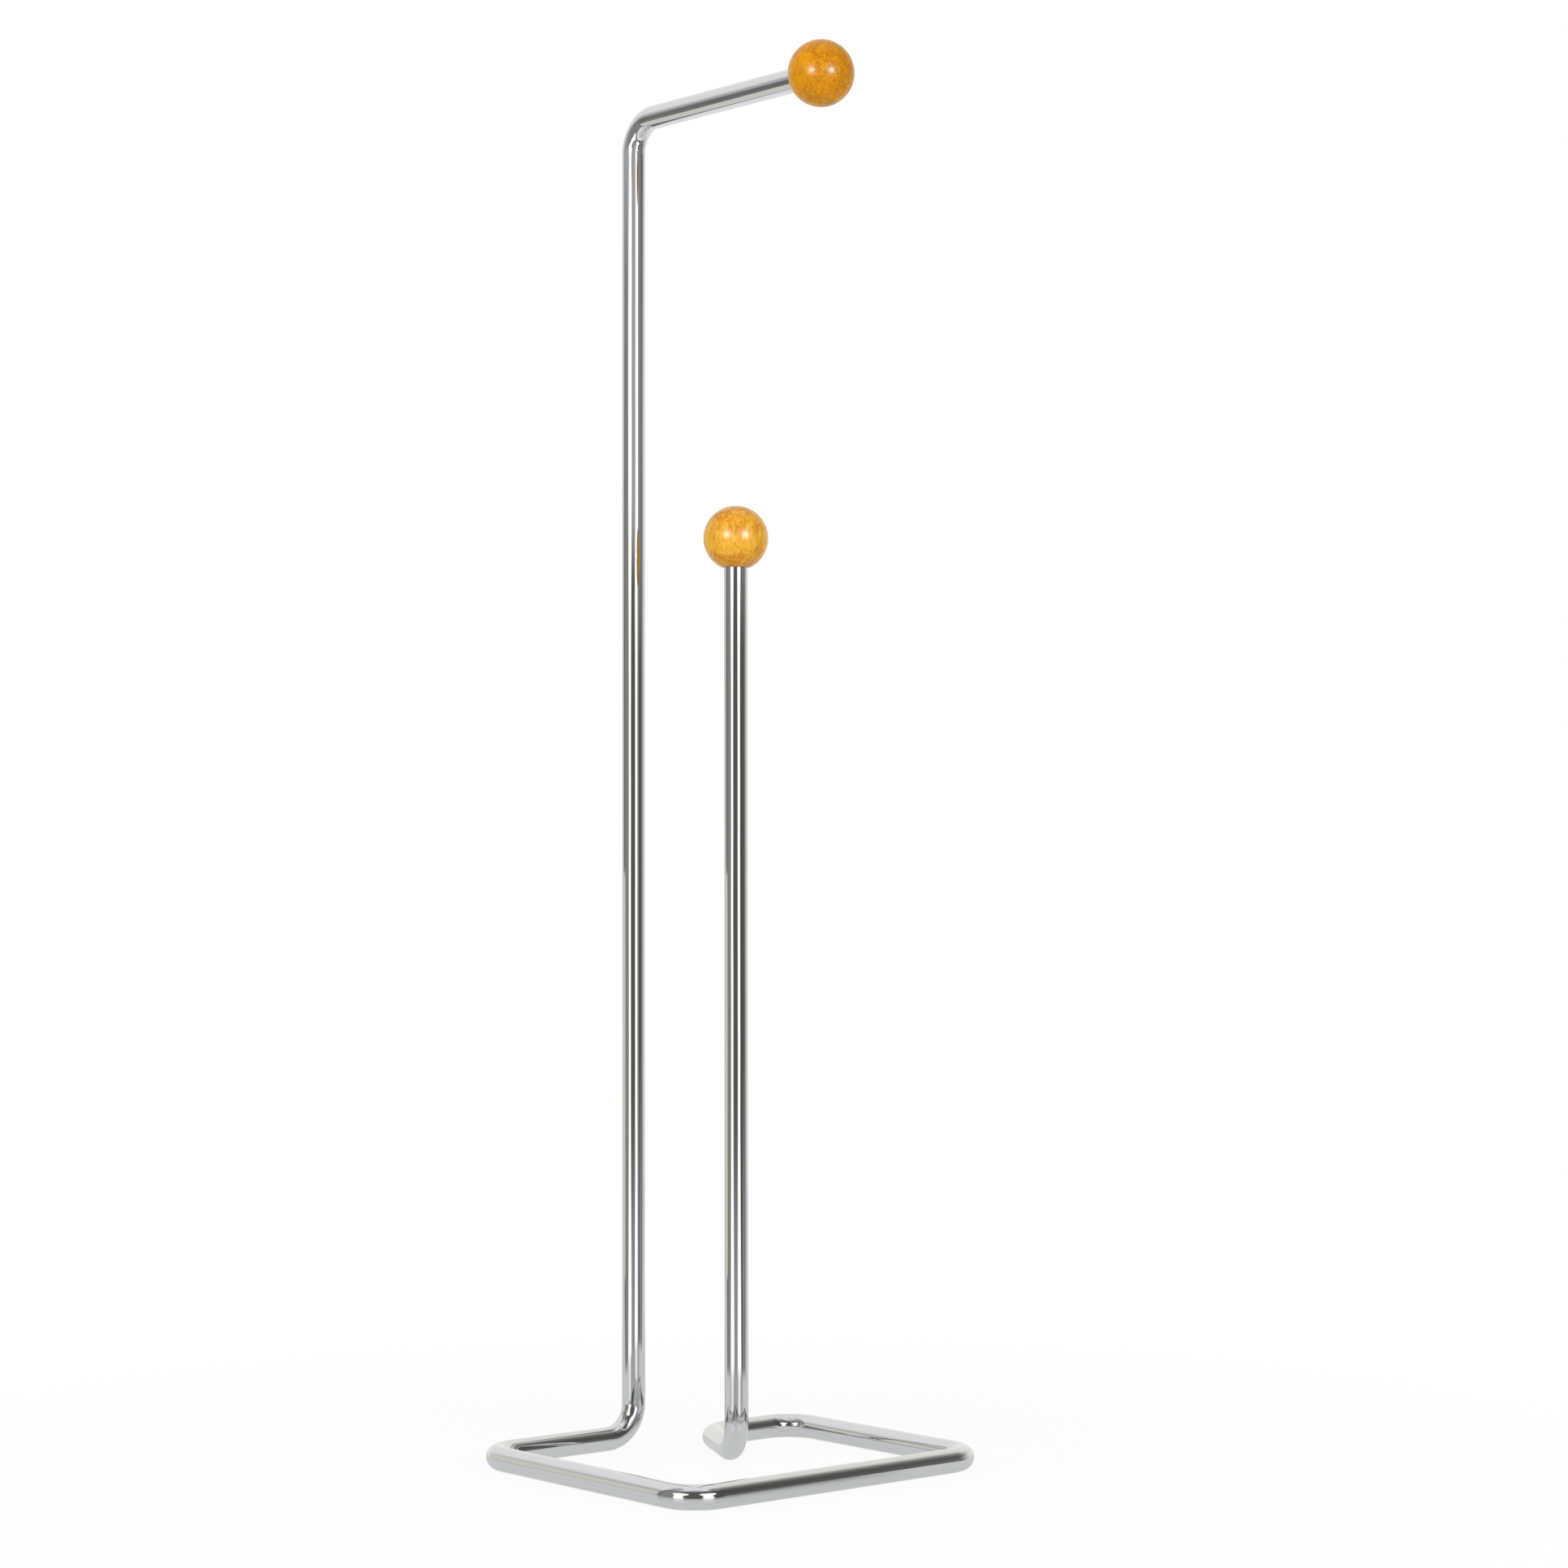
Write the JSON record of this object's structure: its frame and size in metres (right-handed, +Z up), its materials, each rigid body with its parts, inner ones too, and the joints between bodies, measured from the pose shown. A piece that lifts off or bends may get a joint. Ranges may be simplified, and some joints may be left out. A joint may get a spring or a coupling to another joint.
{
  "type": "spare toilet roll rack",
  "caption": "Free-standing toilet roll rack bent from one chromed rod, with a level roll arm, a spare roll post and wooden ball ends.",
  "frame": {"origin": "on the floor, at the middle of the base's outline", "axes": "+Z up, +X the way the roll arm points, +Y from the front side of the base to its back side; the tall post stands on the -X side"},
  "size_m": [0.1456, 0.1612, 0.583],
  "materials": {
    "chromed_steel": "mirror-bright chrome plate on a bent steel rod",
    "amber_wood": "turned hardwood, stained amber under gloss lacquer, end grain to the front",
    "honey_wood": "turned hardwood, stained honey under gloss lacquer, side grain to the front"
  },
  "bodies": {
    "root": {"frame_rod": "chromed_steel", "arm_ball": "amber_wood", "spare_ball": "honey_wood"}
  },
  "joints": []
}
